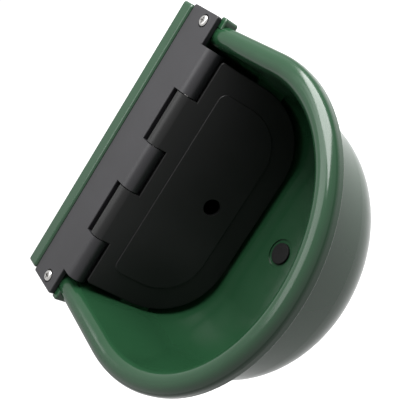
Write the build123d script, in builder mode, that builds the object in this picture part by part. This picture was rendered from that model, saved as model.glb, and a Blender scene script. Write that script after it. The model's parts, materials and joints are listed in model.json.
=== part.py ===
from build123d import *
from math import cos, radians, sin, tan
import os

# Livestock drinking bowl with a hinged cover over a float valve. Millimetres.
# X runs along the wall, -Y points away from the wall, +Z is up. The origin is midway between
# the two wall bolt holes, on the wall face.

os.makedirs("parts", exist_ok=True)

# ---- bowl shell ------------------------------------------------------------------------------
rim_radius = 129.3            # outside of the rolled rim, round the front
bowl_centre_y = -133.0        # centre of the front half circle
side_taper = 2.7              # each side closes in towards the wall by this angle
bowl_depth = 108.0            # rim top to underside
rim_height = 12.0
rim_outer_round = 7.5
rim_inner_round = 8.5
lip_thickness = 3.0
lip_overhang = 15.0           # wall set in from the rim, at the foot of the lip
lip_root_round = 2.0
lip_edge_round = 0.8
wall_draft = 7.0
wall_thickness = 3.2
floor_thickness = 4.0
bottom_radius = 53.0
back_wall = 4.0
rim_drop = 0.6                # underside of the hinge plate to rim top
wall_overrun = 20.0           # the sides run on past the wall face, then are cut flush

# ---- hinge plate and its seat ----------------------------------------------------------------
plate_top = 28.0              # above the wall bolts
plate_thickness = 4.0
plate_end_inset = 0.7         # plate ends, in from the rim's widest
plate_depth = 37.0
plate_corner = 1.8
plate_edge_round = 0.8
strip_end_inset = 2.5         # raised edge of the bowl behind the plate
strip_depth = 12.9
strip_proud = 1.5
strip_corner = 3.0
strip_round = 2.4
seat_gap = 0.3                # between the strip and the plate
seat_end_inset = 3.5          # bosses under the plate's ends, in from the rim's widest
seat_width = 14.8
seat_cover = 3.8              # plate past the front of the deck and the bosses
lug_overhang = 1.2            # square lugs of the rim beside the plate's front corners
lug_width = 9.0
lug_cover = 1.2               # plate past the back of the lugs
lug_reach = 5.6
lug_corner = 3.0
lug_round = 1.6
screw_end_inset = 9.3         # from the rim's widest
screw_y = -36.0
screw_head_radius = 4.75
screw_head_height = 2.9
screw_shank_radius = 2.4
screw_length = 13.0
screw_recess_radius = 5.7
screw_recess_depth = 1.4
screw_clearance = 0.3
screw_tip_gap = 1.0
screw_head_round = 1.8
cross_length = 5.0
cross_width = 1.2
cross_depth = 1.6
cross_taper = 8.0

# ---- hinge -------------------------------------------------------------------------------------
knuckle_radius = 8.4
knuckle_notch = 1.2           # plate cut back behind the knuckles
knuckle_back_gap = 0.6        # between a cover knuckle and the plate behind it
ear_width = 24.4              # plate's ends, beside the hinge
outer_knuckle_length = 38.3
centre_knuckle_half = 19.4
knuckle_side_gap = 0.7
pin_radius = 3.0
pin_fit = 0.02                # pin in the plate's knuckles
pin_running_fit = 0.08        # pin in the cover's knuckles
pin_end_inset = 0.6
pin_chamfer = 0.5

# ---- cover -------------------------------------------------------------------------------------
cover_slope = 71.0            # below the horizontal
cover_thickness = 3.2
cover_side_gap = 2.9          # to the bowl's wall, where the cover is widest
cover_floor_gap = 4.8         # lower edge above the bowl's floor
cover_corner = 56.0
cover_top_corner = 3.0
cover_edge_round = 0.8
cover_root = 7.4              # upper edge of the cover beside the fixed knuckles
cover_rim_width = 19.0        # border round the raised panel
panel_top = 20.1
panel_rise = 1.0
panel_edge_round = 0.7
panel_top_corner = 7.0
finger_hole_radius = 7.0
finger_hole_down = 63.3
stop_gap = 0.3
stop_thickness = 5.0
stop_overlap = 5.6            # behind the cover's edge
stop_start = 42.0
stop_end = 66.0

# ---- drain -------------------------------------------------------------------------------------
drain_y = -136.0
drain_recess_radius = 12.0
drain_recess_depth = 1.2
drain_bore_radius = 6.5
plug_head_radius = 8.7
plug_head_height = 2.0
plug_fit = 0.05
plug_stem_below = 3.0
plug_edge_round = 0.7

# ---- wall bolts --------------------------------------------------------------------------------
wall_bolt_spacing = 140.0
wall_bolt_radius = 4.5

# ---- float valve, its heights above the bowl's floor ---------------------------------------------
valve_side_gap = 0.78         # flange to where the bowl's floor starts to curve up
valve_y = -37.0
thread_radius = 10.45         # outside of the half-inch pipe thread
thread_lead = 1.0
thread_relief = 1.0           # below the nut
shank_radius = 10.2           # neck inside the nut, at the thread's pitch line
shank_below = 30.0            # below the bowl
shank_hole_gap = 0.3
inlet_bore_radius = 7.4
flange_radius = 15.0
flange_thickness = 4.0
seal_thickness = 2.0
washer_thickness = 1.5
washer_overhang = 1.0         # past the flange
nut_flats = 30.0
nut_corner = 1.35             # corners past the flats, once turned round
nut_height = 8.0
nut_fit = 0.05
column_radius = 11.5
head_top = 68.6
nozzle_radius = 6.0
nozzle_tip = 56.6
nozzle_foot = 36.6
nozzle_bore = 1.7
nozzle_cone = 4.0
nozzle_lip = 1.0
nozzle_collar = 3.0
nozzle_fit = 0.02
piston_radius = 6.9
piston_fit = 0.1
piston_stem_radius = 2.2
piston_stem_height = 2.5
piston_seal_radius = 5.0
piston_seal_thickness = 2.5
piston_seal_proud = 0.5
closing_gap = 0.15
pivot_offset = 17.0
pivot_z = 72.6
pivot_pin_radius = 2.0
pivot_fit = 0.05
boss_radius = 4.9
ear_thickness = 4.0
ear_radius = 5.4
ear_foot = 14.0
ear_root = 1.0                # clear of the piston's bore, and sunk in the column
window_width = 8.0
window_height = 7.5
arm_width = 11.0
arm_thickness = 5.0
arm_gap = 0.5                 # each side, between the arm and the ears
arm_drop = 16.0               # arm below level while the bowl is empty
arm_end_inset = 5.0           # arm ends short of the float
nose_radius = 3.6
nose_gap = 0.3
arm_tip_round = 1.5
clip_thickness = 0.8
clip_radius = 4.0
clip_groove = 0.4
clip_gap = 0.1
clip_mouth = 2.0
float_side_gap = 21.3         # to the bowl's right wall, once the float has risen level
float_width = 46.0
float_height = 34.0
float_start = 23.0
float_corner = 8.0
float_top_round = 2.0
float_bottom_round = 4.0
float_bolt_radius = 2.5
float_bolt_gap = 0.2
float_nut_flats = 8.0
float_nut_height = 4.0
bolt_end = 2.0                # thread past the nut
bolt_head_radius = 4.25
bolt_head_height = 2.8
bolt_recess_radius = 6.0
bolt_recess_depth = 4.0
strainer_inset = 1.0          # up from the end of the shank
strainer_length = 24.0
strainer_wall = 1.2
strainer_collar = 2.4
strainer_band = 3.6           # unslotted, at each end
strainer_room = 1.6
strainer_fit = 0.05
strainer_slots = 8
strainer_slot_width = 1.6

# ---- worked out from the sizes above ---------------------------------------------------------
plate_bottom = plate_top - plate_thickness
rim_top = plate_bottom - rim_drop
rim_bottom = rim_top - rim_height
bowl_bottom = rim_top - bowl_depth
floor_top = bowl_bottom + floor_thickness
plate_back = -(strip_depth + seat_gap)
plate_front = plate_back - plate_depth
notch_back = plate_front + knuckle_notch
seat_front = plate_front + seat_cover
lug_back = plate_front + lug_cover
lug_front = plate_front - lug_reach
plate_width = 2 * (rim_radius - plate_end_inset)
strip_width = 2 * (rim_radius - strip_end_inset)
seat_outer = rim_radius - seat_end_inset
lug_outer = rim_radius + lug_overhang
screw_spacing = 2 * (rim_radius - screw_end_inset)
outer_knuckle_end = plate_width / 2 - ear_width
outer_knuckle_start = outer_knuckle_end - outer_knuckle_length
hinge_y = notch_back - knuckle_back_gap - knuckle_radius
hinge_z = plate_top - knuckle_radius
cover_outward = (0, -sin(radians(cover_slope)), cos(radians(cover_slope)))
screw_below = screw_length - plate_thickness + screw_recess_depth
arm_rise = radians(arm_drop)


def wall_radius(height, inset=0.0):
    """Radius of the bowl's outer wall at a height, less an inset."""
    return rim_radius - lip_overhang - (rim_bottom - height) * tan(radians(wall_draft)) - inset


def side_at(radius, y):
    """Half the bowl's width at a distance from the wall, where its front has a radius."""
    slope = radians(side_taper)
    return radius / cos(slope) - (y - bowl_centre_y) * tan(slope)


# The cover runs from the tangent line on the knuckles down to its clearance above the floor. It is
# widest where its lower corners start, and fits the bowl's walls there.
cover_plane = Plane(
    origin=(0, hinge_y, hinge_z), x_dir=(1, 0, 0), z_dir=cover_outward
).offset(knuckle_radius)
cover_length = (cover_plane.origin.Z - floor_top - cover_floor_gap) / sin(radians(cover_slope))
widest_place = cover_plane.from_local_coords((0, cover_corner - cover_length, 0))
widest_wall = side_at(wall_radius(widest_place.Z, wall_thickness), widest_place.Y)
cover_half_width = widest_wall - cover_side_gap

# The valve's flange stands on the flat of the floor, beside the left wall.
bottom_run = (bottom_radius - wall_thickness) * tan(radians(90 - wall_draft) / 2)
flat_radius = wall_radius(floor_top, wall_thickness) - bottom_run
valve_x = valve_side_gap + flange_radius - side_at(flat_radius, valve_y)

# The float fills the room between the valve and the right wall, less its clearance.
pivot_x = valve_x + pivot_offset
float_foot = floor_top + pivot_z - arm_thickness / 2 - float_height
right_wall = side_at(wall_radius(float_foot, wall_thickness), valve_y)
float_end = right_wall - float_side_gap - pivot_x
float_length = float_end - float_start
float_bolt_at = float_start + float_length / 2
arm_length = float_end - arm_end_inset

# The radial section stands in the plane where the front half circle meets the right side.
section_plane = Plane(
    origin=(0, bowl_centre_y, 0),
    x_dir=(cos(radians(side_taper)), sin(radians(side_taper)), 0),
    z_dir=(sin(radians(side_taper)), -cos(radians(side_taper)), 0),
)
centre_axis = Axis((0, bowl_centre_y, 0), (0, 0, -1))
side_run = -bowl_centre_y + wall_overrun

outer_points = [
    (0, bowl_bottom),
    (wall_radius(bowl_bottom), bowl_bottom),
    (wall_radius(rim_top - lip_thickness), rim_top - lip_thickness),
    (rim_radius - lip_thickness, rim_top - lip_thickness),
    (rim_radius - lip_thickness, rim_bottom),
    (rim_radius, rim_bottom),
    (rim_radius, rim_top),
]
inner_points = [
    (wall_radius(rim_top, wall_thickness), rim_top),
    (wall_radius(floor_top, wall_thickness), floor_top),
    (0, floor_top),
]


def round_corner(sketch, corner, radius):
    """Round the corner of a section that lies at a given radius and height."""
    fillet(sketch.vertices().sort_by_distance(Vector(*corner))[0], radius)


def carry_round(section):
    """Carry a radial section round the front, then back to the wall on both sides."""
    revolve(section, axis=centre_axis, revolution_arc=180 + 2 * side_taper)
    right_side = extrude(section, amount=-side_run)
    mirror(right_side, about=Plane.YZ)
    split(bisect_by=Plane.XZ, keep=Keep.TOP)


# ---- bowl --------------------------------------------------------------------------------------
with BuildSketch(section_plane) as wall_section:
    with BuildLine():
        Polyline(*outer_points, *inner_points, close=True)
    make_face()
    round_corner(wall_section, outer_points[1], bottom_radius)
    round_corner(wall_section, outer_points[2], lip_root_round)
    round_corner(wall_section, outer_points[3], rim_outer_round - lip_thickness)
    round_corner(wall_section, outer_points[5], lip_edge_round)
    round_corner(wall_section, outer_points[6], rim_outer_round)
    round_corner(wall_section, inner_points[0], rim_inner_round)
    round_corner(wall_section, inner_points[1], bottom_radius - wall_thickness)

with BuildSketch(section_plane) as filled_section:
    with BuildLine():
        Polyline(*outer_points, (0, rim_top), close=True)
    make_face()
    round_corner(filled_section, outer_points[1], bottom_radius)
    round_corner(filled_section, outer_points[2], lip_root_round)
    round_corner(filled_section, outer_points[3], rim_outer_round - lip_thickness)
    round_corner(filled_section, outer_points[5], lip_edge_round)
    round_corner(filled_section, outer_points[6], rim_outer_round)

with BuildPart() as outline:
    carry_round(filled_section.sketch)

with BuildPart() as back_panel:
    add(outline.part)
    with Locations((0, -back_wall / 2, 0)):
        Box(4 * rim_radius, back_wall, 4 * rim_radius, mode=Mode.INTERSECT)

# Two ribs on the side walls stop the cover behind its edges.
stop_plane = cover_plane.offset(-cover_thickness - stop_gap)
stop_inner = cover_half_width - stop_overlap
with BuildPart() as flap_stops:
    with BuildSketch(stop_plane):
        with Locations((0, -(stop_start + stop_end) / 2)):
            with GridLocations(stop_inner + rim_radius, 1, 2, 1):
                Rectangle(rim_radius - stop_inner, stop_end - stop_start)
    extrude(amount=-stop_thickness)
    add(outline.part, mode=Mode.INTERSECT)

with BuildPart() as raised_strip:
    with Locations((0, 0, plate_bottom - plate_thickness)):
        Box(
            strip_width,
            strip_depth,
            plate_thickness + plate_top - plate_bottom + strip_proud,
            align=(Align.CENTER, Align.MAX, Align.MIN),
        )
    fillet(raised_strip.edges().filter_by(Axis.Z).group_by(Axis.Y)[0], strip_corner)
    strip_edges = raised_strip.faces().sort_by(Axis.Z)[-1].edges()
    fillet(strip_edges - strip_edges.filter_by(Axis.X).sort_by(Axis.Y)[-1:], strip_round)

with BuildPart() as plate_seats:
    with Locations((0, 0, rim_bottom)):
        with GridLocations(2 * seat_outer - seat_width, 1, 2, 1):
            Box(
                seat_width,
                -seat_front,
                plate_bottom - rim_bottom,
                align=(Align.CENTER, Align.MAX, Align.MIN),
            )

with BuildPart() as rim_lugs:
    with Locations((0, lug_back, rim_bottom)):
        with GridLocations(2 * lug_outer - lug_width, 1, 2, 1):
            Box(
                lug_width,
                lug_back - lug_front,
                rim_height,
                align=(Align.CENTER, Align.MAX, Align.MIN),
            )
    front_corners = rim_lugs.edges().filter_by(Axis.Z).group_by(Axis.Y)[0]
    fillet(front_corners.sort_by(Axis.X)[0], lug_corner)
    fillet(front_corners.sort_by(Axis.X)[-1], lug_corner)
    lug_inner = lug_outer - lug_width
    for lug_top in rim_lugs.faces().group_by(Axis.Z)[-1]:
        open_edges = lug_top.edges().filter_by(lambda edge: edge.center().Y < lug_back - lug_round)
        fillet(open_edges.filter_by(lambda edge: abs(edge.center().X) > lug_inner), lug_round)

with BuildPart() as bowl:
    carry_round(wall_section.sketch)
    add(back_panel.part)
    add(flap_stops.part)
    with Locations((0, 0, plate_bottom)):
        Box(2 * seat_outer, -seat_front, plate_thickness, align=(Align.CENTER, Align.MAX, Align.MAX))
    add(raised_strip.part)
    add(plate_seats.part)
    add(rim_lugs.part)
    with Locations(Plane.XZ):
        with GridLocations(wall_bolt_spacing, 1, 2, 1):
            Hole(wall_bolt_radius, depth=back_wall)
    with Locations((0, drain_y, floor_top)):
        CounterBoreHole(drain_bore_radius, drain_recess_radius, drain_recess_depth, floor_thickness)
    with Locations((valve_x, valve_y, floor_top)):
        Hole(shank_radius + shank_hole_gap, depth=floor_thickness)
    with Locations((0, screw_y, plate_bottom)):
        with GridLocations(screw_spacing, 1, 2, 1):
            Hole(screw_shank_radius, depth=screw_below + screw_tip_gap)
bowl.part.label = "bowl"
export_step(bowl.part, "parts/bowl.step")

# ---- hinge plate -------------------------------------------------------------------------------
outer_knuckle_middle = (outer_knuckle_start + outer_knuckle_end) / 2
outer_knuckle_half = (outer_knuckle_end - outer_knuckle_start) / 2
knuckle_places = [(-outer_knuckle_middle, outer_knuckle_half), (0, centre_knuckle_half)]
knuckle_places.append((outer_knuckle_middle, outer_knuckle_half))

with BuildPart() as hinge_plate:
    with BuildSketch(Plane.XY.offset(plate_bottom)):
        with Locations((0, plate_back)):
            Rectangle(plate_width, plate_back - notch_back, align=(Align.CENTER, Align.MAX))
            with GridLocations(plate_width - ear_width, 1, 2, 1):
                Rectangle(ear_width, plate_depth, align=(Align.CENTER, Align.MAX))
    extrude(amount=plate_thickness)
    outer_corners = hinge_plate.edges().filter_by(Axis.Z)
    fillet(outer_corners.group_by(Axis.X)[0] + outer_corners.group_by(Axis.X)[-1], plate_corner)
    fillet(hinge_plate.faces().sort_by(Axis.Z)[-1].edges(), plate_edge_round)
    for middle, half in knuckle_places:
        with BuildSketch(Plane.YZ.offset(middle)):
            with Locations((hinge_y, hinge_z)):
                Circle(knuckle_radius)
                Rectangle(
                    notch_back - hinge_y + plate_edge_round,
                    knuckle_radius,
                    align=(Align.MIN, Align.MIN),
                )
        extrude(amount=half, both=True)
    with BuildSketch(Plane.YZ):
        with Locations((hinge_y, hinge_z)):
            Circle(pin_radius + pin_fit)
    extrude(amount=plate_width, both=True, mode=Mode.SUBTRACT)
    with Locations((0, screw_y, plate_top)):
        with GridLocations(screw_spacing, 1, 2, 1):
            CounterBoreHole(
                screw_shank_radius + screw_clearance,
                screw_recess_radius,
                screw_recess_depth,
                plate_thickness,
            )
hinge_plate.part.label = "hinge_plate"
export_step(hinge_plate.part, "parts/hinge_plate.step")

# ---- hinge pin ---------------------------------------------------------------------------------
with BuildPart() as hinge_pin:
    with BuildSketch(Plane.YZ):
        with Locations((hinge_y, hinge_z)):
            Circle(pin_radius)
    extrude(amount=outer_knuckle_end - pin_end_inset, both=True)
    chamfer(hinge_pin.edges().filter_by(GeomType.CIRCLE), pin_chamfer)
hinge_pin.part.label = "hinge_pin"
export_step(hinge_pin.part, "parts/hinge_pin.step")

# ---- plate screws ------------------------------------------------------------------------------
screw_seat = plate_top - screw_recess_depth
with BuildPart() as plate_screw:
    with BuildSketch(Plane.XZ):
        with BuildLine():
            Polyline(
                (0, -screw_length),
                (screw_shank_radius, -screw_length + 2 * screw_shank_radius),
                (screw_shank_radius, 0),
                (screw_head_radius, 0),
                (screw_head_radius, screw_head_height),
                (0, screw_head_height),
                close=True,
            )
        make_face()
    revolve(axis=Axis.Z)
    fillet(plate_screw.faces().sort_by(Axis.Z)[-1].edges(), screw_head_round)
    with BuildSketch(Plane.XY.offset(screw_head_height)):
        Rectangle(cross_length, cross_width)
        Rectangle(cross_width, cross_length)
    extrude(amount=-cross_depth, mode=Mode.SUBTRACT, taper=cross_taper)

with BuildPart() as plate_screws:
    with Locations((0, screw_y, screw_seat)):
        with GridLocations(screw_spacing, 1, 2, 1):
            add(plate_screw.part)
plate_screws.part.label = "plate_screws"
export_step(plate_screws.part, "parts/plate_screws.step")

# ---- cover -------------------------------------------------------------------------------------
side_knuckle_middle = (centre_knuckle_half + outer_knuckle_start) / 2
side_knuckle_half = (outer_knuckle_start - centre_knuckle_half) / 2 - knuckle_side_gap
panel_half_width = cover_half_width - cover_rim_width
panel_length = cover_length - cover_rim_width - panel_top

with BuildPart() as cover_flap:
    with BuildSketch(cover_plane) as cover_outline:
        with Locations((0, -cover_root)):
            Rectangle(
                2 * cover_half_width, cover_length - cover_root, align=(Align.CENTER, Align.MAX)
            )
        fillet(cover_outline.vertices().group_by(Axis.Y)[0], cover_corner)
        fillet(cover_outline.vertices().group_by(Axis.Y)[-1], cover_top_corner)
        with GridLocations(2 * side_knuckle_middle, 1, 2, 1):
            Rectangle(2 * side_knuckle_half, 2 * cover_root, align=(Align.CENTER, Align.MAX))
    extrude(amount=-cover_thickness)
    front_face = cover_flap.faces().filter_by(lambda face: face.geom_type == GeomType.PLANE)
    front_face = front_face.sort_by(Axis(cover_plane.origin, cover_plane.z_dir))[-1]
    fillet(front_face.outer_wire().edges(), cover_edge_round)
    with BuildSketch(cover_plane) as panel_outline:
        with Locations((0, -panel_top)):
            Rectangle(2 * panel_half_width, panel_length, align=(Align.CENTER, Align.MAX))
        fillet(panel_outline.vertices().group_by(Axis.Y)[0], cover_corner - cover_rim_width)
        fillet(panel_outline.vertices().group_by(Axis.Y)[-1], panel_top_corner)
    extrude(amount=panel_rise)
    panel_face = cover_flap.faces().sort_by(Axis(cover_plane.origin, cover_plane.z_dir))[-1]
    fillet(panel_face.edges(), panel_edge_round)
    with BuildSketch(cover_plane):
        with Locations((0, -finger_hole_down)):
            Circle(finger_hole_radius)
    extrude(amount=2 * cover_thickness, both=True, mode=Mode.SUBTRACT)
    for side in (-1, 1):
        with BuildSketch(Plane.YZ.offset(side * side_knuckle_middle)):
            with Locations((hinge_y, hinge_z)):
                Circle(knuckle_radius)
        extrude(amount=side_knuckle_half, both=True)
    with BuildSketch(Plane.YZ):
        with Locations((hinge_y, hinge_z)):
            Circle(pin_radius + pin_running_fit)
    extrude(amount=cover_half_width, both=True, mode=Mode.SUBTRACT)
cover_flap.part.label = "cover_flap"
export_step(cover_flap.part, "parts/cover_flap.step")

# ---- drain plug --------------------------------------------------------------------------------
plug_seat = floor_top - drain_recess_depth
with BuildPart() as drain_plug:
    with Locations((0, drain_y, plug_seat)):
        Cylinder(plug_head_radius, plug_head_height, align=(Align.CENTER, Align.CENTER, Align.MIN))
        Cylinder(
            drain_bore_radius - plug_fit,
            plug_seat - bowl_bottom + plug_stem_below,
            align=(Align.CENTER, Align.CENTER, Align.MAX),
        )
    fillet(drain_plug.faces().sort_by(Axis.Z)[-1].edges(), plug_edge_round)
    chamfer(drain_plug.faces().sort_by(Axis.Z)[0].edges(), plug_edge_round)
drain_plug.part.label = "drain_plug"
export_step(drain_plug.part, "parts/drain_plug.step")

# ---- valve body --------------------------------------------------------------------------------
valve_plane = Plane(origin=(valve_x, valve_y, floor_top), x_dir=(1, 0, 0), z_dir=(0, 0, 1))
upright_plane = Plane(origin=valve_plane.origin, x_dir=(1, 0, 0), z_dir=(0, -1, 0))
valve_axis = Axis(valve_plane.origin, (0, 0, 1))
shank_end = -floor_thickness - shank_below
washer_bottom = -floor_thickness - washer_thickness
thread_top = washer_bottom - nut_height - thread_relief
flange_top = seal_thickness + flange_thickness
ear_inner = arm_width / 2 + arm_gap
ear_outer = ear_inner + ear_thickness
guide_bottom = nozzle_tip - nozzle_cone
travel = pivot_offset * arm_rise
side_plane = Plane(
    origin=(pivot_x, valve_y, floor_top + pivot_z), x_dir=(1, 0, 0), z_dir=(0, -1, 0)
)

with BuildPart() as valve_body:
    with BuildSketch(upright_plane):
        with BuildLine():
            Polyline(
                (0, shank_end),
                (thread_radius - thread_lead, shank_end),
                (thread_radius, shank_end + thread_lead),
                (thread_radius, thread_top),
                (shank_radius, thread_top),
                (shank_radius, seal_thickness),
                (flange_radius, seal_thickness),
                (flange_radius, flange_top),
                (column_radius, flange_top),
                (column_radius, head_top),
                (0, head_top),
                close=True,
            )
        make_face()
    revolve(axis=valve_axis)
    for side in (-1, 1):
        with BuildSketch(side_plane.offset(side * (ear_inner + ear_outer) / 2)):
            Circle(ear_radius)
            Rectangle(
                pivot_offset - piston_radius - ear_root, ear_radius, align=(Align.MAX, Align.MIN)
            )
            Polygon(
                (ear_radius, 0),
                (piston_radius + ear_root - pivot_offset, 0),
                (piston_radius + ear_root - pivot_offset, head_top - pivot_z - ear_foot),
                (column_radius - ear_root - pivot_offset, head_top - pivot_z - ear_foot),
                align=None,
            )
        extrude(amount=ear_thickness / 2, both=True)
    with BuildSketch(side_plane):
        Circle(pivot_pin_radius + pin_fit)
    extrude(amount=2 * ear_outer, both=True, mode=Mode.SUBTRACT)
    with BuildSketch(valve_plane.offset(shank_end)):
        Circle(inlet_bore_radius)
    extrude(amount=nozzle_foot - shank_end, mode=Mode.SUBTRACT)
    with BuildSketch(valve_plane.offset(nozzle_foot)):
        Circle(nozzle_radius + nozzle_fit)
    extrude(amount=guide_bottom - nozzle_foot, mode=Mode.SUBTRACT)
    with BuildSketch(valve_plane.offset(guide_bottom)):
        Circle(piston_radius + piston_fit)
    extrude(amount=pivot_z + ear_radius - guide_bottom, mode=Mode.SUBTRACT)
    with Locations(valve_plane.offset(guide_bottom)):
        Box(
            4 * column_radius,
            window_width,
            window_height,
            align=(Align.CENTER, Align.CENTER, Align.MIN),
            mode=Mode.SUBTRACT,
        )
valve_body.part.label = "valve_body"
export_step(valve_body.part, "parts/valve_body.step")

# ---- inlet fastening ---------------------------------------------------------------------------
def ring(plane, outer, inner, height):
    """Add a flat ring of the given height, standing on a plane."""
    with BuildSketch(plane) as section:
        Circle(outer)
        Circle(inner, mode=Mode.SUBTRACT)
    extrude(section.sketch, amount=height)


with BuildPart() as inlet_seal:
    ring(valve_plane, flange_radius, shank_radius + nut_fit, seal_thickness)
inlet_seal.part.label = "inlet_seal"
export_step(inlet_seal.part, "parts/inlet_seal.step")

with BuildPart() as inlet_washer:
    ring(
        valve_plane.offset(washer_bottom),
        flange_radius + washer_overhang,
        shank_radius + shank_hole_gap,
        washer_thickness,
    )
inlet_washer.part.label = "inlet_washer"
export_step(inlet_washer.part, "parts/inlet_washer.step")

with BuildPart() as inlet_nut:
    with BuildSketch(valve_plane.offset(washer_bottom)):
        RegularPolygon(nut_flats / 2, 6, major_radius=False)
        Circle(shank_radius + nut_fit, mode=Mode.SUBTRACT)
    extrude(amount=-nut_height)
    with BuildSketch(valve_plane.offset(washer_bottom)):
        Circle(nut_flats / 2 + nut_corner)
    extrude(amount=-nut_height, mode=Mode.INTERSECT)
inlet_nut.part.label = "inlet_nut"
export_step(inlet_nut.part, "parts/inlet_nut.step")

# ---- strainer ----------------------------------------------------------------------------------
strainer_radius = inlet_bore_radius - strainer_room
strainer_foot = valve_plane.offset(shank_end + strainer_inset)
with BuildPart() as inlet_strainer:
    ring(
        strainer_foot,
        inlet_bore_radius - strainer_fit,
        strainer_radius - strainer_wall,
        strainer_collar,
    )
    ring(
        strainer_foot,
        strainer_radius,
        strainer_radius - strainer_wall,
        strainer_length,
    )
    with BuildSketch(strainer_foot.offset(strainer_length)):
        Circle(strainer_radius)
    extrude(amount=strainer_wall)
    with Locations(strainer_foot.offset(strainer_collar + strainer_band)):
        with PolarLocations(0, strainer_slots // 2, angular_range=180):
            Box(
                4 * strainer_radius,
                strainer_slot_width,
                strainer_length - strainer_collar - 2 * strainer_band,
                align=(Align.CENTER, Align.CENTER, Align.MIN),
                mode=Mode.SUBTRACT,
            )
inlet_strainer.part.label = "inlet_strainer"
export_step(inlet_strainer.part, "parts/inlet_strainer.step")

# ---- nozzle ------------------------------------------------------------------------------------
with BuildPart() as valve_nozzle:
    with BuildSketch(upright_plane):
        with BuildLine():
            Polyline(
                (nozzle_bore, nozzle_foot - nozzle_collar),
                (inlet_bore_radius - strainer_fit, nozzle_foot - nozzle_collar),
                (inlet_bore_radius - strainer_fit, nozzle_foot),
                (nozzle_radius, nozzle_foot),
                (nozzle_radius, guide_bottom),
                (nozzle_bore + nozzle_lip, nozzle_tip),
                (nozzle_bore, nozzle_tip),
                close=True,
            )
        make_face()
    revolve(axis=valve_axis)
valve_nozzle.part.label = "valve_nozzle"
export_step(valve_nozzle.part, "parts/valve_nozzle.step")

# ---- piston and its rubber ---------------------------------------------------------------------
nose_height = pivot_z + pivot_offset * sin(arm_rise) - nose_radius
piston_top = nose_height - nose_gap
rubber_bottom = nozzle_tip + travel + closing_gap
piston_bottom = rubber_bottom + piston_seal_proud

with BuildPart() as valve_piston:
    with BuildSketch(valve_plane.offset(piston_bottom)):
        Circle(piston_radius)
    extrude(amount=piston_top - piston_stem_height - piston_bottom)
    with BuildSketch(valve_plane.offset(piston_top)):
        Circle(piston_stem_radius)
    extrude(amount=-piston_stem_height)
    with BuildSketch(valve_plane.offset(piston_bottom)):
        Circle(piston_seal_radius)
    extrude(amount=piston_seal_thickness - piston_seal_proud, mode=Mode.SUBTRACT)
valve_piston.part.label = "valve_piston"
export_step(valve_piston.part, "parts/valve_piston.step")

with BuildPart() as piston_rubber:
    with BuildSketch(valve_plane.offset(rubber_bottom)):
        Circle(piston_seal_radius)
    extrude(amount=piston_seal_thickness)
piston_rubber.part.label = "piston_rubber"
export_step(piston_rubber.part, "parts/piston_rubber.step")

# ---- float arm ---------------------------------------------------------------------------------
arm_plane = Plane(
    origin=side_plane.origin,
    x_dir=(cos(arm_rise), 0, -sin(arm_rise)),
    z_dir=(0, -1, 0),
)
arm_top = Plane(
    origin=arm_plane.from_local_coords((0, arm_thickness / 2, 0)),
    x_dir=arm_plane.x_dir,
    z_dir=arm_plane.y_dir,
)
float_top = arm_top.offset(-arm_thickness)

with BuildPart() as float_arm:
    with BuildSketch(arm_plane):
        Circle(boss_radius)
        with Locations((-pivot_offset, 0)):
            Circle(nose_radius)
            Rectangle(pivot_offset + arm_length, arm_thickness, align=(Align.MIN, Align.CENTER))
    extrude(amount=arm_width / 2, both=True)
    fillet(float_arm.edges().filter_by(Axis.Y).sort_by(Axis.X)[-2:], arm_tip_round)
    with BuildSketch(arm_plane):
        Circle(pivot_pin_radius + pivot_fit)
    extrude(amount=arm_width, both=True, mode=Mode.SUBTRACT)
    with BuildSketch(arm_top):
        with Locations((float_bolt_at, 0)):
            Circle(float_bolt_radius + float_bolt_gap)
    extrude(amount=-arm_thickness, mode=Mode.SUBTRACT)
float_arm.part.label = "float_arm"
export_step(float_arm.part, "parts/float_arm.step")

# ---- pivot pin and clips -----------------------------------------------------------------------
clip_inner = ear_outer + clip_gap
with BuildPart() as pivot_pin:
    with BuildSketch(side_plane):
        Circle(pivot_pin_radius)
    extrude(amount=clip_inner + 3 * clip_thickness, both=True)
    for side in (-1, 1):
        with BuildSketch(side_plane.offset(side * (clip_inner + clip_thickness / 2))):
            Circle(pivot_pin_radius)
            Circle(pivot_pin_radius - clip_groove, mode=Mode.SUBTRACT)
        extrude(amount=clip_thickness / 2, both=True, mode=Mode.SUBTRACT)
pivot_pin.part.label = "pivot_pin"
export_step(pivot_pin.part, "parts/pivot_pin.step")

with BuildPart() as pivot_clips:
    for side in (-1, 1):
        with BuildSketch(side_plane.offset(side * (clip_inner + clip_thickness / 2))):
            Circle(clip_radius)
            Circle(pivot_pin_radius - clip_groove, mode=Mode.SUBTRACT)
            with Locations((0, -clip_radius)):
                Rectangle(clip_mouth, clip_radius, mode=Mode.SUBTRACT)
        extrude(amount=clip_thickness / 2, both=True)
pivot_clips.part.label = "pivot_clips"
export_step(pivot_clips.part, "parts/pivot_clips.step")

# ---- float and its fastening -------------------------------------------------------------------
with BuildPart() as float_block:
    with BuildSketch(float_top):
        with Locations((float_start + float_length / 2, 0)):
            RectangleRounded(float_length, float_width, float_corner)
    extrude(amount=-float_height)
    float_faces = float_block.faces().sort_by(Axis(float_top.origin, float_top.z_dir))
    fillet(float_faces[0].edges(), float_bottom_round)
    fillet(float_faces[-1].edges(), float_top_round)
    with BuildSketch(float_top):
        with Locations((float_bolt_at, 0)):
            Circle(float_bolt_radius + float_bolt_gap)
    extrude(amount=-float_height, mode=Mode.SUBTRACT)
    with BuildSketch(float_top.offset(-float_height)):
        with Locations((float_bolt_at, 0)):
            Circle(bolt_recess_radius)
    extrude(amount=bolt_recess_depth, mode=Mode.SUBTRACT)
float_block.part.label = "float"
export_step(float_block.part, "parts/float.step")

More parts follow.
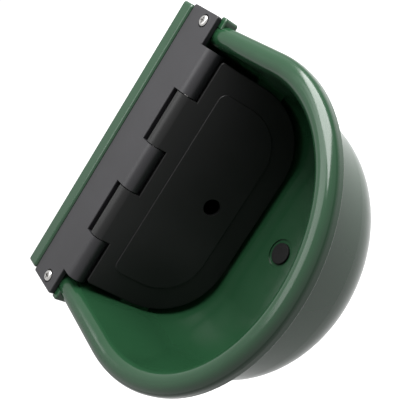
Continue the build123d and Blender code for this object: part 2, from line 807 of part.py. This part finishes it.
bolt_seat = float_top.offset(bolt_recess_depth - float_height)
bolt_run = float_height - bolt_recess_depth + arm_thickness + float_nut_height + bolt_end
with BuildPart() as float_bolt:
    with BuildSketch(bolt_seat):
        with Locations((float_bolt_at, 0)):
            Circle(bolt_head_radius)
    extrude(amount=-bolt_head_height)
    with BuildSketch(bolt_seat):
        with Locations((float_bolt_at, 0)):
            Circle(float_bolt_radius)
    extrude(amount=bolt_run)
float_bolt.part.label = "float_bolt"
export_step(float_bolt.part, "parts/float_bolt.step")

with BuildPart() as float_nut:
    with BuildSketch(arm_top):
        with Locations((float_bolt_at, 0)):
            RegularPolygon(float_nut_flats / 2, 6, major_radius=False)
            Circle(float_bolt_radius, mode=Mode.SUBTRACT)
    extrude(amount=float_nut_height)
float_nut.part.label = "float_nut"
export_step(float_nut.part, "parts/float_nut.step")
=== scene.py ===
"""Finishes, inlet thread, light and camera for a wall-mounted livestock drinking bowl."""

import json
import math

import bpy
from bpy.props import FloatProperty, FloatVectorProperty, PointerProperty
from bpy.types import Operator, Panel, PropertyGroup
from mathutils import Matrix, Vector

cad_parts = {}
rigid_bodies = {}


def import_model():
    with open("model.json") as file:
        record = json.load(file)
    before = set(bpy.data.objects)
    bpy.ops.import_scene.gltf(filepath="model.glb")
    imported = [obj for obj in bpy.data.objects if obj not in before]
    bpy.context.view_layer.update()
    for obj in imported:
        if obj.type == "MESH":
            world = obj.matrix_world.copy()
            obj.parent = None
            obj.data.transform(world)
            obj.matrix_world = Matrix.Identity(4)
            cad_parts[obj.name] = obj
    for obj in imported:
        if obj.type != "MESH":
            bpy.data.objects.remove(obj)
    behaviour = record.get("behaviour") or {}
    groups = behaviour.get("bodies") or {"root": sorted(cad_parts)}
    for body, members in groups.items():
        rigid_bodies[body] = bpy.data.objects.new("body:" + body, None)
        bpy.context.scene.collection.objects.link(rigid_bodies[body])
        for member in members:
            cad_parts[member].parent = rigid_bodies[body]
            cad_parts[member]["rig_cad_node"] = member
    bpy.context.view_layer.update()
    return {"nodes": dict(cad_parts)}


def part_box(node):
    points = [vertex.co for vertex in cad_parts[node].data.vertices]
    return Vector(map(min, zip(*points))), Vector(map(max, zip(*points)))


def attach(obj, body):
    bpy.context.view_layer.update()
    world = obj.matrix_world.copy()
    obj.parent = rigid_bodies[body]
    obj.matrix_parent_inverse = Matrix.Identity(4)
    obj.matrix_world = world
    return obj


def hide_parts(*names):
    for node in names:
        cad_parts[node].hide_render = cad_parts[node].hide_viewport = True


bl_info = {
    "name": "Livestock drinking bowl",
    "version": (1, 0, 0),
    "blender": (4, 5, 0),
    "location": "3D View > Sidebar > Drinking bowl",
    "description": "Dresses a hinged-cover drinking bowl and its float valve",
    "category": "Object",
}

MERGE_DISTANCE = 0.000001
MIX_FIRST, MIX_SECOND, MIX_RESULT = 6, 7, 2  # colour sockets of a Mix node

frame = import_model()
bpy.ops.object.select_all(action="DESELECT")

# ---- settings -------------------------------------------------------------------------------


def colour_setting(name, description, default):
    """A colour that a user may change."""
    return FloatVectorProperty(
        name=name, description=description, default=default, subtype="COLOR", min=0.0, max=1.0
    )


def factor_setting(name, description, default, maximum=1.0):
    """A plain number from nothing up to a maximum."""
    return FloatProperty(name=name, description=description, default=default, min=0.0, max=maximum)


def length_setting(name, description, default):
    """A length in metres."""
    return FloatProperty(name=name, description=description, default=default, unit="LENGTH")


def angle_setting(name, description, degrees):
    """An angle, written in degrees."""
    return FloatProperty(
        name=name, description=description, default=math.radians(degrees), subtype="ANGLE"
    )


def place_setting(name, description, default):
    """A point in metres."""
    return FloatVectorProperty(
        name=name, description=description, default=default, subtype="TRANSLATION"
    )


class BowlSettings(PropertyGroup):
    """The glossy moulded shell."""

    green: colour_setting("Green", "Main colour of the plastic", (0.0125, 0.051, 0.0215))
    deep_green: colour_setting("Deep green", "Colour in its darker clouds", (0.011, 0.045, 0.019))
    gloss_roughness: factor_setting("Roughness", "Roughness of the polished mould face", 0.15)
    peel_size: length_setting("Orange peel size", "Width of the soft waves in the gloss", 0.004)
    peel_depth: length_setting("Orange peel depth", "Height of the soft waves", 0.00001)


class HingeSettings(PropertyGroup):
    """The hinge plate, the cover and their metal."""

    plate_black: colour_setting("Plate black", "Colour of the hinge plate", (0.0125, 0.012, 0.014))
    cover_black: colour_setting("Cover black", "Colour of the cover", (0.0045, 0.0046, 0.0046))
    plate_roughness: factor_setting("Plate roughness", "Satin of the hinge plate", 0.42)
    cover_roughness: factor_setting("Cover roughness", "Matt of the cover", 0.42)
    grain_size: length_setting("Grain size", "Width of the spark-eroded mould grain", 0.0007)
    grain_depth: length_setting("Grain depth", "Height of that grain", 0.00002)
    steel: colour_setting("Steel", "Colour of the stainless screws and pins", (0.50, 0.49, 0.475))


class ValveSettings(PropertyGroup):
    """The float valve and its inlet."""

    pitch: length_setting("Pitch", "Rise of the half-inch pipe thread in one turn", 0.001814)
    thread_depth: length_setting("Thread depth", "From crest to root of the thread", 0.00116)
    thread_bottom: length_setting("Thread bottom", "Height at which the thread starts", -0.1138)
    thread_top: length_setting("Thread top", "Height at which the thread runs out", -0.0957)
    acetal: colour_setting("Acetal", "Colour of the valve body", (0.72, 0.73, 0.70))
    nylon: colour_setting("Nylon", "Colour of the strainer", (0.62, 0.64, 0.62))
    arm_black: colour_setting("Arm black", "Colour of the float arm", (0.014, 0.014, 0.015))
    foam: colour_setting("Foam", "Colour of the closed-cell float", (0.66, 0.65, 0.60))
    brass: colour_setting("Brass", "Colour of the nut and the nozzle", (0.56, 0.38, 0.13))
    rubber: colour_setting("Rubber", "Colour of the plug and the seals", (0.006, 0.006, 0.006))


class StageSettings(PropertyGroup):
    """Camera, floor and lamps."""

    aim: place_setting("Aim", "Point that the camera faces", (0.014699, -0.146747, 0.026881))
    azimuth: angle_setting("Azimuth", "Turn of the camera round the bowl", 12.355)
    elevation: angle_setting("Elevation", "Height of the camera above the horizon", 39.093)
    roll: angle_setting("Roll", "Lean of the camera about its line of sight", 65.403)
    distance: length_setting("Distance", "From the camera to the aim", 0.549673)
    lens: FloatProperty(name="Lens", description="Focal length", default=72.0, unit="CAMERA")
    floor_drop: length_setting("Floor drop", "From the wall bolts down to the floor", 0.42)
    floor_size: length_setting("Floor size", "Side of the floor", 14.0)
    sky: factor_setting("Sky", "Strength of the light from all round", 0.24, 4.0)
    lamp_aim: place_setting("Lamp aim", "Point that both lamps face", (0.0, -0.12, -0.02))
    top_place: place_setting("Top lamp", "Place of the lamp above the wall", (0.1, 0.5, 1.3))
    top_size: length_setting("Top lamp size", "Side of the lamp above the wall", 1.0)
    top_power: factor_setting("Top lamp power", "Watts of the lamp above the wall", 9.0, 500.0)
    side_place: place_setting("Side lamp", "Place of the lamp at the right", (0.71, 0.03, 0.50))
    side_width: length_setting("Side lamp width", "Width of the lamp at the right", 0.7)
    side_length: length_setting("Side lamp length", "Length of the lamp at the right", 0.85)
    side_power: factor_setting("Side lamp power", "Watts of the lamp at the right", 21.5, 500.0)


# ---- finishes -------------------------------------------------------------------------------


class Finish:
    """A material in the making: its nodes, its shader and the piece's own coordinates."""

    def __init__(self, name, colour, roughness, metallic=0.0, specular=0.5):
        self.material = bpy.data.materials.new(name)
        self.material.use_nodes = True
        self.nodes = self.material.node_tree.nodes
        self.links = self.material.node_tree.links
        self.shader = self.nodes["Principled BSDF"]
        self.shader.inputs["Base Color"].default_value = (*colour, 1.0)
        self.shader.inputs["Roughness"].default_value = roughness
        self.shader.inputs["Metallic"].default_value = metallic
        self.shader.inputs["Specular IOR Level"].default_value = specular
        self.place = self.nodes.new("ShaderNodeTexCoord").outputs["Object"]
        self.normal = None

    def stretched(self, scale, turn=(0.0, 0.0, 0.0), centre=(0.0, 0.0, 0.0)):
        """The piece's coordinates measured from a centre, turned and scaled."""
        moved = self.nodes.new("ShaderNodeMapping")
        moved.inputs["Location"].default_value = [-c for c in centre]
        self.links.new(self.place, moved.inputs["Vector"])
        turned = self.nodes.new("ShaderNodeMapping")
        turned.inputs["Rotation"].default_value = turn
        turned.inputs["Scale"].default_value = scale
        self.links.new(moved.outputs["Vector"], turned.inputs["Vector"])
        return turned.outputs["Vector"]

    def noise(self, size, detail=3.0, place=None):
        """Cloudy noise whose patches are about the given width, from 0 to 1."""
        node = self.nodes.new("ShaderNodeTexNoise")
        node.inputs["Scale"].default_value = 1.0 / size
        node.inputs["Detail"].default_value = detail
        self.links.new(place or self.place, node.inputs["Vector"])
        return node.outputs["Fac"]

    def cells(self, size, place=None):
        """Distance to the nearest of scattered points, for a pebbled or foamed face."""
        node = self.nodes.new("ShaderNodeTexVoronoi")
        node.inputs["Scale"].default_value = 1.0 / size
        self.links.new(place or self.place, node.inputs["Vector"])
        return node.outputs["Distance"]

    def rings(self, width, place):
        """Rings about the z axis of the coordinates given."""
        node = self.nodes.new("ShaderNodeTexWave")
        node.wave_type = "RINGS"
        node.rings_direction = "Z"
        node.inputs["Scale"].default_value = 1.0 / (width * 20.0)
        node.inputs["Distortion"].default_value = 0.4
        self.links.new(place, node.inputs["Vector"])
        return node.outputs["Fac"]

    def span(self, source, low, high, start=0.3, end=0.7):
        """The source stretched so that start gives low and end gives high."""
        node = self.nodes.new("ShaderNodeMapRange")
        range_ends = {"From Min": start, "From Max": end, "To Min": low, "To Max": high}
        for socket, value in range_ends.items():
            node.inputs[socket].default_value = value
        self.links.new(source, node.inputs["Value"])
        return node.outputs["Result"]

    def tint(self, factor, first, second):
        """Colour the piece between two colours."""
        node = self.nodes.new("ShaderNodeMix")
        node.data_type = "RGBA"
        node.inputs[MIX_FIRST].default_value = (*first, 1.0)
        node.inputs[MIX_SECOND].default_value = (*second, 1.0)
        self.links.new(factor, node.inputs["Factor"])
        self.links.new(node.outputs[MIX_RESULT], self.shader.inputs["Base Color"])

    def vary_roughness(self, source, low, high, start=0.3, end=0.7):
        """Let the roughness follow a pattern."""
        self.links.new(self.span(source, low, high, start, end), self.shader.inputs["Roughness"])

    def relief(self, source, depth):
        """Raise the face by a pattern, on top of any relief it already has."""
        node = self.nodes.new("ShaderNodeBump")
        node.inputs["Strength"].default_value = 1.0
        node.inputs["Distance"].default_value = depth
        self.links.new(source, node.inputs["Height"])
        if self.normal:
            self.links.new(self.normal, node.inputs["Normal"])
        self.normal = node.outputs["Normal"]
        self.links.new(self.normal, self.shader.inputs["Normal"])


def paint(piece, material):
    """Give a piece one material all over."""
    if not piece.material_slots:
        piece.data.materials.append(material)
    for slot in piece.material_slots:
        slot.material = material


def dress(material, *names):
    """Give CAD nodes a material."""
    for name in names:
        paint(frame["nodes"][name], material)


def shade(colour, share):
    """A colour made lighter or darker."""
    return tuple(min(1.0, channel * share) for channel in colour)


def glossy_green(settings):
    """Dark green plastic from a polished mould, with the faint waves of orange peel."""
    gloss = settings.gloss_roughness
    finish = Finish("glossy_green_plastic", settings.green, gloss, specular=0.42)
    clouds = finish.noise(0.06, 4.0)
    finish.tint(finish.span(clouds, 0.0, 1.0), settings.green, settings.deep_green)
    finish.vary_roughness(finish.noise(0.012, 6.0), gloss * 0.85, gloss * 1.3)
    finish.relief(finish.noise(settings.peel_size, 1.0), settings.peel_depth)
    finish.relief(finish.noise(settings.peel_size / 8, 2.0), settings.peel_depth / 8)
    return finish.material


def grained_black(name, colour, roughness, specular, settings):
    """Black plastic with the even grain of a spark-eroded mould."""
    finish = Finish(name, colour, roughness, specular=specular)
    clouds = finish.noise(0.03, 4.0)
    finish.tint(finish.span(clouds, 0.0, 1.0), shade(colour, 0.85), shade(colour, 1.2))
    finish.vary_roughness(finish.noise(0.02, 5.0), roughness - 0.015, roughness + 0.025)
    finish.relief(finish.noise(settings.grain_size, 3.0), settings.grain_depth)
    finish.relief(finish.cells(settings.grain_size * 1.6), settings.grain_depth / 2)
    return finish.material


def bright_steel(colour):
    """Bright stainless steel with fine drawn marks."""
    finish = Finish("bright_stainless_steel", colour, 0.22, metallic=1.0)
    drawn = finish.noise(0.0006, 2.0, finish.stretched((0.08, 1.0, 1.0)))
    finish.vary_roughness(drawn, 0.16, 0.32)
    finish.tint(finish.noise(0.004, 2.0), shade(colour, 0.9), shade(colour, 1.08))
    finish.relief(drawn, 0.000006)
    return finish.material


def matt_rubber(colour):
    """Dark moulded rubber with a dry bloom."""
    finish = Finish("dark_rubber", colour, 0.62, specular=0.12)
    finish.tint(finish.noise(0.004, 4.0), shade(colour, 0.8), shade(colour, 1.7))
    finish.vary_roughness(finish.noise(0.003, 4.0), 0.55, 0.72)
    finish.relief(finish.noise(0.0008, 3.0), 0.00003)
    return finish.material


def moulded_plastic(name, colour, roughness, translucence=0.0):
    """Plain engineering plastic with flow clouds."""
    finish = Finish(name, colour, roughness)
    finish.tint(finish.noise(0.01, 4.0), shade(colour, 0.93), shade(colour, 1.04))
    finish.vary_roughness(finish.noise(0.006, 4.0), roughness - 0.05, roughness + 0.07)
    finish.relief(finish.noise(0.001, 2.0), 0.000012)
    if translucence:
        finish.shader.inputs["Subsurface Weight"].default_value = translucence
        finish.shader.inputs["Subsurface Radius"].default_value = (0.002, 0.002, 0.002)
    return finish.material


def turned_brass(colour, centre):
    """Brass with fine rings left by the lathe."""
    finish = Finish("turned_brass", colour, 0.28, metallic=1.0)
    place = finish.stretched((1.0, 1.0, 1.0), centre=centre)
    finish.tint(finish.noise(0.005, 4.0), shade(colour, 0.8), shade(colour, 1.15))
    finish.vary_roughness(finish.noise(0.004, 2.0), 0.24, 0.34)
    finish.relief(finish.rings(0.0004, place), 0.000003)
    return finish.material


def cell_foam(colour):
    """Closed-cell foam with a skin of fine cells."""
    finish = Finish("closed_cell_foam", colour, 0.7)
    finish.tint(finish.noise(0.012, 5.0), shade(colour, 0.9), shade(colour, 1.06))
    finish.relief(finish.cells(0.0016), 0.00012)
    finish.relief(finish.noise(0.006, 3.0), 0.00015)
    return finish.material


# ---- pieces ---------------------------------------------------------------------------------


def shank_axis():
    """Where the upright axis of the valve's shank stands."""
    low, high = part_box("inlet_seal")
    return ((Vector(low) + Vector(high)) / 2).xy


def merged_copy(node, name):
    """A copy of a CAD node with its doubled points merged."""
    bpy.ops.object.select_all(action="DESELECT")
    source = frame["nodes"][node]
    source.select_set(True)
    bpy.context.view_layer.objects.active = source
    bpy.ops.object.duplicate()
    piece = bpy.context.object
    piece.name = name
    del piece["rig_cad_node"]
    bpy.ops.object.mode_set(mode="EDIT")
    bpy.ops.mesh.select_all(action="SELECT")
    bpy.ops.mesh.remove_doubles(threshold=MERGE_DISTANCE)
    bpy.ops.object.mode_set(mode="OBJECT")
    return piece


def select_where(piece, wanted):
    """Select only the points of a mesh that are wanted, and their edges and faces."""
    bpy.ops.object.mode_set(mode="EDIT")
    bpy.ops.mesh.select_mode(type="VERT")
    bpy.ops.mesh.select_all(action="DESELECT")
    bpy.ops.object.mode_set(mode="OBJECT")
    for vertex in piece.data.vertices:
        vertex.select = wanted(vertex)


def thread_ridge(settings, axis, root, crest):
    """The ridge of the thread: a wedge carried round the shank by a screw, closed at both ends."""
    turns = int((settings.thread_top - settings.thread_bottom) / settings.pitch) - 1
    sunk = settings.thread_depth / 2
    foot, tip = settings.pitch * 0.82, settings.pitch * 0.16
    start = (*axis, settings.thread_bottom)
    bpy.ops.mesh.primitive_plane_add(size=1.0, location=start, rotation=(math.pi / 2, 0.0, 0.0))
    ridge = bpy.context.object
    ridge.name = "thread_ridge"
    bpy.ops.object.transform_apply(location=False, rotation=True)
    bpy.ops.object.mode_set(mode="EDIT")
    bpy.ops.mesh.select_all(action="SELECT")
    bpy.ops.transform.resize(value=(crest - root + sunk, 1.0, foot))
    bpy.ops.transform.translate(value=((crest + root - sunk) / 2, 0.0, foot / 2))
    bpy.ops.object.mode_set(mode="OBJECT")
    select_where(ridge, lambda vertex: vertex.co.x > root)
    bpy.ops.object.mode_set(mode="EDIT")
    bpy.ops.transform.resize(value=(1.0, 1.0, tip / foot))
    bpy.ops.object.mode_set(mode="OBJECT")
    screw = ridge.modifiers.new("screw", "SCREW")
    screw.axis = "Z"
    screw.screw_offset = settings.pitch
    screw.iterations = turns
    screw.steps = screw.render_steps = 48
    bpy.ops.object.modifier_apply(modifier=screw.name)
    bpy.ops.object.mode_set(mode="EDIT")
    bpy.ops.mesh.select_all(action="SELECT")
    bpy.ops.mesh.remove_doubles(threshold=MERGE_DISTANCE)
    bpy.ops.mesh.select_all(action="SELECT")
    bpy.ops.mesh.fill_holes(sides=4)
    bpy.ops.mesh.select_all(action="SELECT")
    bpy.ops.mesh.normals_make_consistent(inside=False)
    bpy.ops.object.mode_set(mode="OBJECT")
    bpy.ops.object.transform_apply(location=True)
    return ridge


STEEL_PIECES = (
    "hinge_pin",
    "plate_screws",
    "pivot_pin",
    "pivot_clips",
    "float_bolt",
    "float_nut",
    "inlet_washer",
)


class DRINKER_OT_bowl(Operator):
    """Give the bowl its glossy green plastic"""

    bl_idname = "drinker.bowl"
    bl_label = "Bowl"

    def execute(self, context):
        dress(glossy_green(context.scene.drinker_bowl), "bowl")
        return {"FINISHED"}


class DRINKER_OT_hinge(Operator):
    """Give the hinge plate, the cover, the pin and the screws their finishes"""

    bl_idname = "drinker.hinge"
    bl_label = "Hinge and cover"

    def execute(self, context):
        settings = context.scene.drinker_hinge
        satin, matt = settings.plate_roughness, settings.cover_roughness
        plate = grained_black("satin_black_plate", settings.plate_black, satin, 0.4, settings)
        cover = grained_black("matt_black_cover", settings.cover_black, matt, 0.3, settings)
        dress(plate, "hinge_plate")
        dress(cover, "cover_flap")
        dress(bright_steel(settings.steel), *STEEL_PIECES)
        return {"FINISHED"}


class DRINKER_OT_thread(Operator):
    """Cut the pipe thread into the inlet below the bowl"""

    bl_idname = "drinker.thread"
    bl_label = "Inlet thread"

    def execute(self, context):
        settings = context.scene.drinker_valve
        axis = shank_axis()
        crest = max(
            (vertex.co.xy - axis).length
            for vertex in frame["nodes"]["valve_body"].data.vertices
            if vertex.co.z < settings.thread_top
        )
        root = crest - settings.thread_depth
        body = merged_copy("valve_body", "threaded_valve_body")

        def on_thread(vertex):
            """Whether a point is on the shank's plain outside or on its lead."""
            radius, height = (vertex.co.xy - axis).length, vertex.co.z
            on_lead = height < settings.thread_bottom and radius > root
            near = height < settings.thread_top + settings.pitch
            return on_lead or (near and radius > crest - settings.thread_depth / 10)

        select_where(body, on_thread)
        bpy.ops.object.mode_set(mode="EDIT")
        shrink = root / crest
        bpy.ops.transform.resize(value=(shrink, shrink, 1.0), center_override=(*axis, 0.0))
        bpy.ops.object.mode_set(mode="OBJECT")

        ridge = thread_ridge(settings, axis, root, crest)
        bpy.ops.object.select_all(action="DESELECT")
        ridge.select_set(True)
        body.select_set(True)
        context.view_layer.objects.active = body
        bpy.ops.object.join()
        bpy.ops.object.shade_smooth_by_angle(angle=math.radians(35.0))
        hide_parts("valve_body")
        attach(body, "base")
        return {"FINISHED"}


class DRINKER_OT_valve(Operator):
    """Give the float valve and its inlet their finishes"""

    bl_idname = "drinker.valve"
    bl_label = "Float valve"

    def execute(self, context):
        settings = context.scene.drinker_valve
        centre = shank_axis()
        acetal = moulded_plastic("white_acetal", settings.acetal, 0.36, 0.1)
        dress(acetal, "valve_body", "valve_piston")
        paint(bpy.data.objects["threaded_valve_body"], acetal)
        dress(moulded_plastic("natural_nylon", settings.nylon, 0.4, 0.2), "inlet_strainer")
        dress(moulded_plastic("black_nylon", settings.arm_black, 0.4), "float_arm")
        dress(turned_brass(settings.brass, (*centre, 0.0)), "inlet_nut", "valve_nozzle")
        dress(matt_rubber(settings.rubber), "drain_plug", "inlet_seal", "piston_rubber")
        dress(cell_foam(settings.foam), "float")
        return {"FINISHED"}


# ---- stage ----------------------------------------------------------------------------------


def seen_white(tree, light_strength, seen_strength, mirrored_share=1.0):
    """A strength with one value as light, one to the camera and a share of that in mirrors."""
    rays = tree.nodes.new("ShaderNodeLightPath")
    mirrored = tree.nodes.new("ShaderNodeMath")
    mirrored.operation = "MAXIMUM"
    tree.links.new(rays.outputs["Is Glossy Ray"], mirrored.inputs[0])
    tree.links.new(rays.outputs["Is Transmission Ray"], mirrored.inputs[1])
    seen = tree.nodes.new("ShaderNodeMath")
    seen.operation = "MULTIPLY_ADD"
    seen.inputs[1].default_value = mirrored_share
    tree.links.new(mirrored.outputs[0], seen.inputs[0])
    tree.links.new(rays.outputs["Is Camera Ray"], seen.inputs[2])
    strength = tree.nodes.new("ShaderNodeMapRange")
    strength.inputs["To Min"].default_value = light_strength
    strength.inputs["To Max"].default_value = seen_strength
    tree.links.new(seen.outputs[0], strength.inputs["Value"])
    return strength.outputs["Result"]


def area_lamp(name, place, aim, width, length, power):
    """A soft rectangular lamp pointed at a place."""
    bpy.ops.object.light_add(type="AREA", location=place)
    lamp = bpy.context.object
    lamp.name = name
    lamp.data.shape = "RECTANGLE"
    lamp.data.size = width
    lamp.data.size_y = length
    lamp.data.energy = power
    towards = (Vector(aim) - Vector(place)).to_track_quat("-Z", "Y").to_matrix()
    lamp.matrix_world = Matrix.Translation(place) @ towards.to_4x4()


def place_camera(context, stage):
    """A camera that looks at the aim from its azimuth and elevation, leaning by its roll."""
    turn = (
        Matrix.Rotation(stage.azimuth, 3, "Z")
        @ Matrix.Rotation(math.pi / 2 - stage.elevation, 3, "X")
        @ Matrix.Rotation(-stage.roll, 3, "Z")
    )
    place = Vector(stage.aim) + turn @ Vector((0.0, 0.0, stage.distance))
    bpy.ops.object.camera_add()
    camera = context.object
    camera.name = "camera"
    camera.matrix_world = Matrix.Translation(place) @ turn.to_4x4()
    camera.data.lens = stage.lens
    camera.data.sensor_width = 36.0
    camera.data.clip_start = 0.01
    context.scene.camera = camera


def lay_floor(stage):
    """A plain pale floor some way below the bowl."""
    place = (0.0, 0.0, -stage.floor_drop)
    bpy.ops.mesh.primitive_plane_add(size=stage.floor_size, location=place)
    floor = bpy.context.object
    floor.name = "floor"
    bpy.ops.object.transform_apply(location=True)
    material = bpy.data.materials.new("pale_floor")
    material.use_nodes = True
    tree = material.node_tree
    shader = tree.nodes["Principled BSDF"]
    shader.inputs["Base Color"].default_value = (0.6, 0.6, 0.6, 1.0)
    shader.inputs["Roughness"].default_value = 0.9
    shader.inputs["Specular IOR Level"].default_value = 0.0
    shader.inputs["Emission Color"].default_value = (1.0, 1.0, 1.0, 1.0)
    tree.links.new(seen_white(tree, 0.0, 0.76, 0.46), shader.inputs["Emission Strength"])
    floor.data.materials.append(material)


def light_sky(context, stage):
    """White all round, dimmer as light than it looks."""
    world = bpy.data.worlds.new("white_surroundings")
    world.use_nodes = True
    tree = world.node_tree
    tree.links.new(seen_white(tree, stage.sky, 1.0), tree.nodes["Background"].inputs["Strength"])
    tree.nodes["Background"].inputs["Color"].default_value = (1.0, 1.0, 1.0, 1.0)
    context.scene.world = world


class DRINKER_OT_stage(Operator):
    """Lay the floor, set the lamps and stand the camera"""

    bl_idname = "drinker.stage"
    bl_label = "Stage"

    def execute(self, context):
        stage = context.scene.drinker_stage
        context.scene.view_settings.view_transform = "Standard"
        place_camera(context, stage)
        lay_floor(stage)
        light_sky(context, stage)
        area_lamp(
            "top_lamp",
            stage.top_place,
            stage.lamp_aim,
            stage.top_size,
            stage.top_size,
            stage.top_power,
        )
        area_lamp(
            "side_lamp",
            stage.side_place,
            stage.lamp_aim,
            stage.side_width,
            stage.side_length,
            stage.side_power,
        )
        return {"FINISHED"}


class DRINKER_PT_bowl(Panel):
    """The steps of the bowl, in order"""

    bl_idname = "DRINKER_PT_bowl"
    bl_label = "Drinking bowl"
    bl_space_type = "VIEW_3D"
    bl_region_type = "UI"
    bl_category = "Drinking bowl"

    def draw(self, context):
        for group in GROUPS:
            settings = getattr(context.scene, "drinker_" + group)
            box = self.layout.box()
            for step in STEPS[group]:
                box.operator("drinker." + step)
            for name in settings.__annotations__:
                box.prop(settings, name)


GROUPS = {
    "bowl": BowlSettings,
    "hinge": HingeSettings,
    "valve": ValveSettings,
    "stage": StageSettings,
}
STEPS = {
    "bowl": ("bowl",),
    "hinge": ("hinge",),
    "valve": ("thread", "valve"),
    "stage": ("stage",),
}
OPERATORS = (
    DRINKER_OT_bowl,
    DRINKER_OT_hinge,
    DRINKER_OT_thread,
    DRINKER_OT_valve,
    DRINKER_OT_stage,
)


def register():
    """Register the settings, the operators and the panel."""
    for name, group in GROUPS.items():
        bpy.utils.register_class(group)
        setattr(bpy.types.Scene, "drinker_" + name, PointerProperty(type=group))
    for operator in OPERATORS:
        bpy.utils.register_class(operator)
    bpy.utils.register_class(DRINKER_PT_bowl)


def unregister():
    """Take them away again."""
    bpy.utils.unregister_class(DRINKER_PT_bowl)
    for operator in reversed(OPERATORS):
        bpy.utils.unregister_class(operator)
    for name, group in reversed(GROUPS.items()):
        delattr(bpy.types.Scene, "drinker_" + name)
        bpy.utils.unregister_class(group)


def main():
    """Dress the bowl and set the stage."""
    register()
    for steps in STEPS.values():
        for step in steps:
            getattr(bpy.ops.drinker, step)()


if __name__ == "__main__":
    main()
